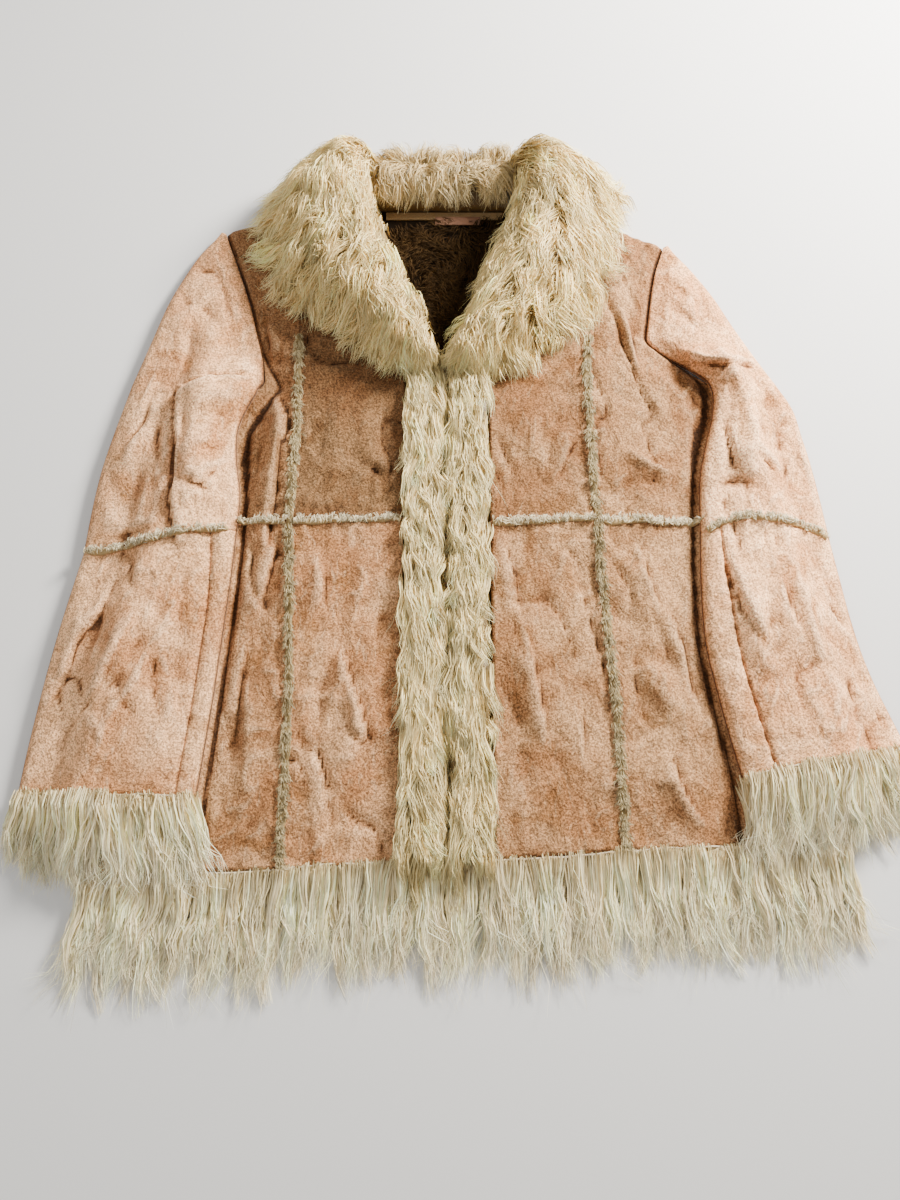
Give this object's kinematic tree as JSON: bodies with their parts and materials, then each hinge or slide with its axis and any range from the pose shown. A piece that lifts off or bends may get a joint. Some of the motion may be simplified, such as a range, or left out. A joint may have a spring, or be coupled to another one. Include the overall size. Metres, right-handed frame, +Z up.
{
  "type": "shearling coat",
  "caption": "Suede shearling coat laid flat, front up, with a curly fur shawl collar, front bands, cuffs and hem.",
  "frame": {"origin": "on the underside of the back, on the centre line, level with the waist seam", "axes": "+X to the right as one looks at the front, +Y towards the collar, +Z up from the surface that the coat lies on"},
  "size_m": [0.7591, 0.7947, 0.0681],
  "materials": {
    "suede": "napped suede, mottled peach tan",
    "long_fur": "long curly cream sheepskin",
    "raw_fleece": "short raw fleece along the seams",
    "lining_pile": "short dark brown pile",
    "neck_tape": "plain woven tape",
    "neck_tab": "soft bare leather"
  },
  "bodies": {
    "root": {"back": "lining_pile", "band_left": "long_fur", "band_right": "long_fur", "collar_back": "long_fur", "collar_left": "long_fur", "collar_right": "long_fur", "cuff_fur_left_top": "long_fur", "cuff_fur_left_under": "long_fur", "cuff_fur_right_top": "long_fur", "cuff_fur_right_under": "long_fur", "fleece_left_elbow": "raw_fleece", "fleece_left_front_seam": "raw_fleece", "fleece_left_waist_centre": "raw_fleece", "fleece_left_waist_side": "raw_fleece", "fleece_right_elbow": "raw_fleece", "fleece_right_front_seam": "raw_fleece", "fleece_right_waist_centre": "raw_fleece", "fleece_right_waist_side": "raw_fleece", "front_left_centre_lower": "suede", "front_left_centre_upper": "suede", "front_left_side_lower": "suede", "front_left_side_upper": "suede", "front_right_centre_lower": "suede", "front_right_centre_upper": "suede", "front_right_side_lower": "suede", "front_right_side_upper": "suede", "hem_fur_back": "long_fur", "hem_fur_front_left": "long_fur", "hem_fur_front_right": "long_fur", "neck_tab": "neck_tab", "neck_tape": "neck_tape", "sleeve_left_top_lower": "suede", "sleeve_left_top_upper": "suede", "sleeve_left_under_lower": "suede", "sleeve_left_under_upper": "suede", "sleeve_right_top_lower": "suede", "sleeve_right_top_upper": "suede", "sleeve_right_under_lower": "suede", "sleeve_right_under_upper": "suede"}
  },
  "joints": []
}
